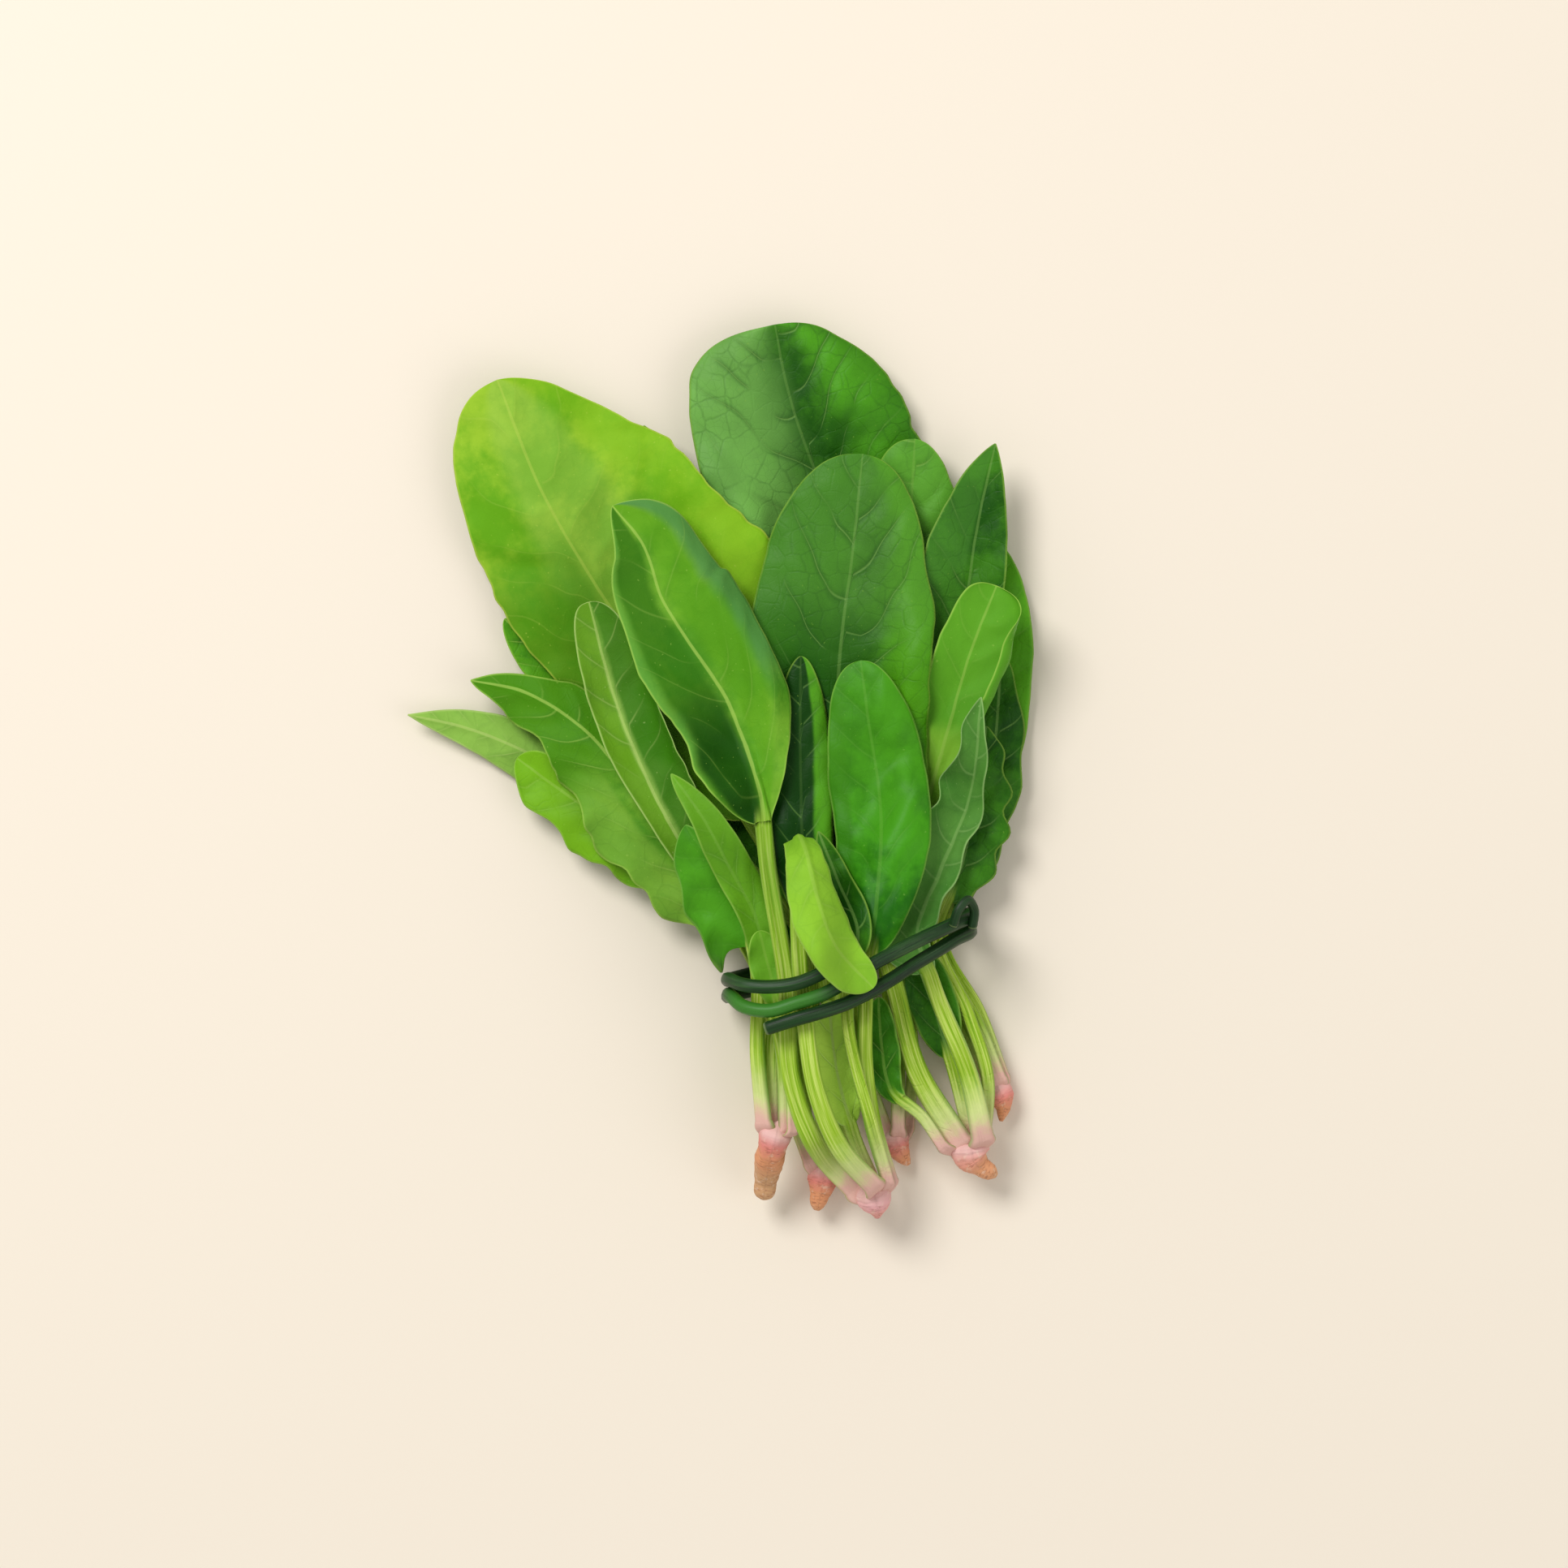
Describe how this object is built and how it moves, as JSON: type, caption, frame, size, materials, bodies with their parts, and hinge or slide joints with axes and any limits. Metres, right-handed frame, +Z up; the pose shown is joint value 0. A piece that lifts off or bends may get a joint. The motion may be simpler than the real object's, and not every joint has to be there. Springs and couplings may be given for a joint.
{
  "type": "bunch of sorrel",
  "caption": "Bunch of long-stalked broad leaves on pink root crowns, tied round the stalks with a green strand.",
  "frame": {"origin": "on the surface the bunch lies on, under the middle of its bounding box", "axes": "+Z up from the surface, +Y from the roots to the leaf tips, +X to the right seen from above"},
  "size_m": [0.197, 0.2808, 0.0667],
  "materials": {
    "leaf_dark": "dark green leaf, satin",
    "leaf_mid": "mid green leaf, satin",
    "leaf_bright": "bright green leaf, satin",
    "leaf_light": "light green leaf, satin",
    "leaf_lit": "yellow green leaf underside, matte",
    "leaf_yellow": "yellow green leaf underside, matte",
    "leaf_pale": "pale leaf underside, matte",
    "leaf_glaucous": "grey green leaf underside, matte",
    "root_skin": "pink to tan root skin, matte",
    "tie_green": "dark green smooth strand, satin"
  },
  "bodies": {
    "root": {"leaf_back_left": "leaf_mid", "leaf_back_middle": "leaf_mid", "leaf_back_right": "leaf_mid", "leaf_centre_dark": "leaf_dark", "leaf_centre_oval": "leaf_dark", "leaf_centre_sliver": "leaf_dark", "leaf_far_left": "leaf_pale", "leaf_front_folded": "leaf_lit", "leaf_front_oval": "leaf_bright", "leaf_left_bud": "leaf_light", "leaf_left_great": "leaf_yellow", "leaf_left_lobed": "leaf_dark", "leaf_left_long": "leaf_lit", "leaf_left_notch": "leaf_light", "leaf_left_peek": "leaf_light", "leaf_left_rolled": "leaf_pale", "leaf_left_sliver": "leaf_mid", "leaf_low_left": "leaf_light", "leaf_over_tie": "leaf_lit", "leaf_right_curled": "leaf_lit", "leaf_right_edge": "leaf_mid", "leaf_right_low": "leaf_dark", "leaf_right_pale": "leaf_glaucous", "leaf_right_point": "leaf_dark", "leaf_right_ribbed": "leaf_dark", "leaf_top_broad": "leaf_dark", "leaf_top_peek": "leaf_mid", "leaf_tucked_dark": "leaf_dark", "leaf_young_dark": "leaf_mid", "leaf_young_pale": "leaf_pale", "root_back_left": "root_skin", "root_behind": "root_skin", "root_far_right": "root_skin", "root_front": "root_skin", "root_left": "root_skin", "root_right": "root_skin", "tie_strand": "tie_green"}
  },
  "joints": []
}
